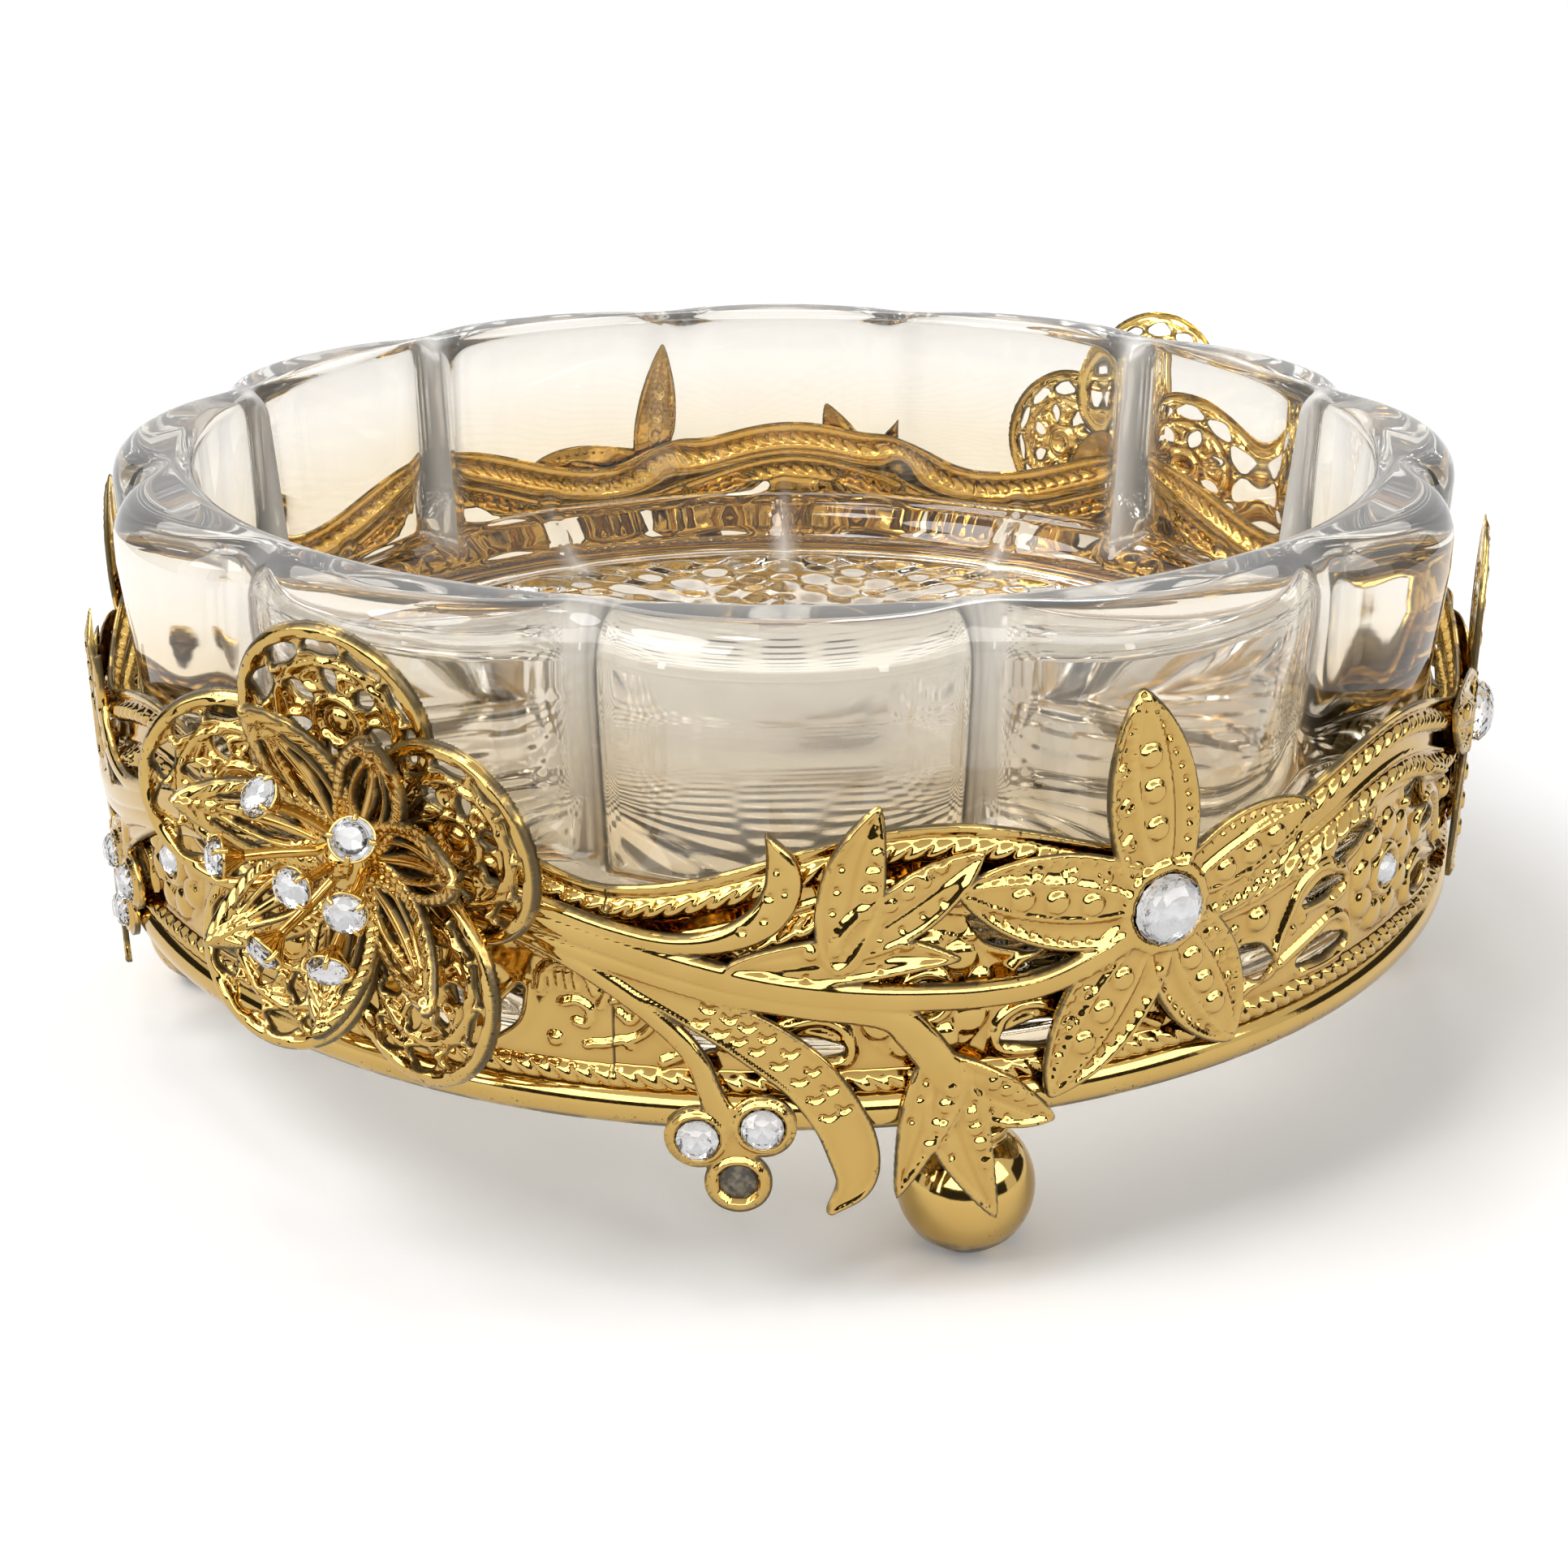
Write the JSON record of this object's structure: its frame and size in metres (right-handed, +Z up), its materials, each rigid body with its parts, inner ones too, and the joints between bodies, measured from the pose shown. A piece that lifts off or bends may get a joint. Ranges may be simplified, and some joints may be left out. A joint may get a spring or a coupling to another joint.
{
  "type": "vanity trinket dish",
  "caption": "Open round trinket dish: a thick lobed clear glass liner that lifts out of a gilt filigree holder with flower sprays, crystals and ball feet.",
  "frame": {"origin": "on the table plane, under the middle axis of the round dish", "axes": "+Z up along the axis of the dish; -Y towards the pictured front; +X to the right seen from the front"},
  "size_m": [0.1367, 0.1389, 0.0558],
  "materials": {
    "clear_glass": "polished pressed glass",
    "gilt_metal": "bright gold plate, tarnished at the edges",
    "crystal": "faceted, foil backed"
  },
  "bodies": {
    "holder": {"base_ring": "gilt_metal", "foot_screws": "gilt_metal", "gallery_filler": "gilt_metal", "ball_foot_1": "gilt_metal", "ball_foot_2": "gilt_metal", "ball_foot_3": "gilt_metal", "ball_foot_4": "gilt_metal", "gallery_panel_1": "gilt_metal", "gallery_panel_2": "gilt_metal", "gallery_panel_3": "gilt_metal", "gallery_panel_4": "gilt_metal", "gallery_panel_5": "gilt_metal", "gallery_panel_6": "gilt_metal", "gallery_panel_7": "gilt_metal", "gallery_panel_8": "gilt_metal", "spray_front_right": "gilt_metal", "spray_front_left": "gilt_metal", "spray_back_right": "gilt_metal", "spray_back_left": "gilt_metal", "outer_petals_front": "gilt_metal", "inner_petals_front": "gilt_metal", "stamens_front": "gilt_metal", "flower_rivet_front": "gilt_metal", "outer_petals_back": "gilt_metal", "inner_petals_back": "gilt_metal", "stamens_back": "gilt_metal", "flower_rivet_back": "gilt_metal", "rosette_stones": "crystal", "flower_stone_front_right": "crystal", "flower_stone_front_left": "crystal", "flower_stone_back_right": "crystal", "flower_stone_back_left": "crystal", "berry_stones_front_right": "crystal", "berry_stones_front_left": "crystal", "berry_stones_back_right": "crystal", "berry_stones_back_left": "crystal", "stamen_stones_front": "crystal", "stamen_stones_back": "crystal"},
    "dish": {"glass_dish": "clear_glass"}
  },
  "joints": [
    {"name": "dish_lift", "type": "slide", "parent": "holder", "child": "dish", "axis": [0, 0, 1], "range_m": [0, 0.04]}
  ]
}
